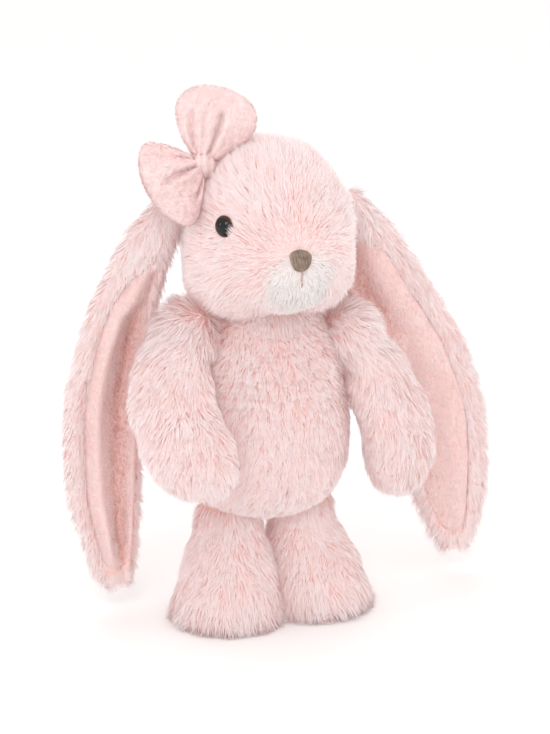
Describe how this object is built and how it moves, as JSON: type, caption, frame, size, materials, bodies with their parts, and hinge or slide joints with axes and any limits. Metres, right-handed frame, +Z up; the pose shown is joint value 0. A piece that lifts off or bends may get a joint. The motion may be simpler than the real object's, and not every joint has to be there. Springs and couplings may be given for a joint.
{
  "type": "stuffed bunny rabbit",
  "caption": "Standing plush lop-eared bunny with long hanging ears, jointed head, arms, legs and ears, plastic eyes, stitched nose and a small bow.",
  "frame": {"origin": "centre of the whole toy's bounding box seen from above, on the surface it stands on", "axes": "+Z up, the face looks towards -Y, +X is the toy's own left side"},
  "size_m": [0.2088, 0.0846, 0.2487],
  "materials": {
    "pink_fur": "long pale pink pile",
    "white_fur": "white pile",
    "ear_velour": "short pink pile",
    "bow_velour": "short pink pile",
    "sole_velour": "short pink pile",
    "stuffing": "matte fibre",
    "pellets": "matte",
    "eye_plastic": "gloss",
    "washer_plastic": "matte",
    "nose_thread": "satin stitch",
    "mouth_thread": "stitch"
  },
  "bodies": {
    "torso": {"torso_cover": "pink_fur", "torso_stuffing": "stuffing", "tail": "pink_fur"},
    "neck": {"neck_ball": "stuffing"},
    "head": {"head_cover": "pink_fur", "muzzle_cover": "white_fur", "head_stuffing": "stuffing", "left_eye": "eye_plastic", "right_eye": "eye_plastic", "left_eye_washer": "washer_plastic", "right_eye_washer": "washer_plastic", "nose": "nose_thread", "mouth_stitch": "mouth_thread", "bow_knot": "bow_velour", "bow_upper_loop": "bow_velour", "bow_side_loop": "bow_velour"},
    "right_arm": {"right_arm_cover": "pink_fur", "right_arm_stuffing": "stuffing"},
    "right_leg": {"right_leg_cover": "pink_fur", "right_leg_stuffing": "stuffing", "right_sole": "sole_velour", "right_foot_pellets": "pellets"},
    "right_ear": {"right_ear_back": "pink_fur", "right_ear_lining": "ear_velour"},
    "left_arm": {"left_arm_cover": "pink_fur", "left_arm_stuffing": "stuffing"},
    "left_leg": {"left_leg_cover": "pink_fur", "left_leg_stuffing": "stuffing", "left_sole": "sole_velour", "left_foot_pellets": "pellets"},
    "left_ear": {"left_ear_back": "pink_fur", "left_ear_lining": "ear_velour"}
  },
  "joints": [
    {"name": "neck_turn", "type": "hinge", "parent": "torso", "child": "neck", "pos_m": [-0.0144, 0.0028, 0.144], "axis": [0, 0, 1], "range_deg": [-4, 7], "stiffness_Nm_per_rad": 0.25},
    {"name": "head_nod", "type": "hinge", "parent": "neck", "child": "head", "pos_m": [-0.0144, 0.0028, 0.144], "axis": [1, 0, 0], "range_deg": [-1, 14], "stiffness_Nm_per_rad": 0.4},
    {"name": "right_arm_swing", "type": "hinge", "parent": "torso", "child": "right_arm", "pos_m": [-0.0544, 0.0013, 0.136], "axis": [-0.9272, 0.3746, 0], "range_deg": [0, 70]},
    {"name": "left_arm_swing", "type": "hinge", "parent": "torso", "child": "left_arm", "pos_m": [0.0236, 0.0013, 0.131], "axis": [-0.9272, -0.3746, 0], "range_deg": [0, 70]},
    {"name": "right_leg_swing", "type": "hinge", "parent": "torso", "child": "right_leg", "pos_m": [-0.0329, 0.0063, 0.046], "axis": [-0.9272, 0.3746, 0], "range_deg": [0, 45], "stiffness_Nm_per_rad": 0.6},
    {"name": "left_leg_swing", "type": "hinge", "parent": "torso", "child": "left_leg", "pos_m": [0.0041, 0.0063, 0.046], "axis": [-0.9272, -0.3746, 0], "range_deg": [0, 45], "stiffness_Nm_per_rad": 0.6},
    {"name": "right_ear_lift", "type": "hinge", "parent": "head", "child": "right_ear", "pos_m": [-0.0559, 0.0133, 0.196], "axis": [0, 1, 0], "range_deg": [0, 70]},
    {"name": "left_ear_lift", "type": "hinge", "parent": "head", "child": "left_ear", "pos_m": [0.0266, 0.0103, 0.194], "axis": [0, -1, 0], "range_deg": [0, 70]}
  ]
}
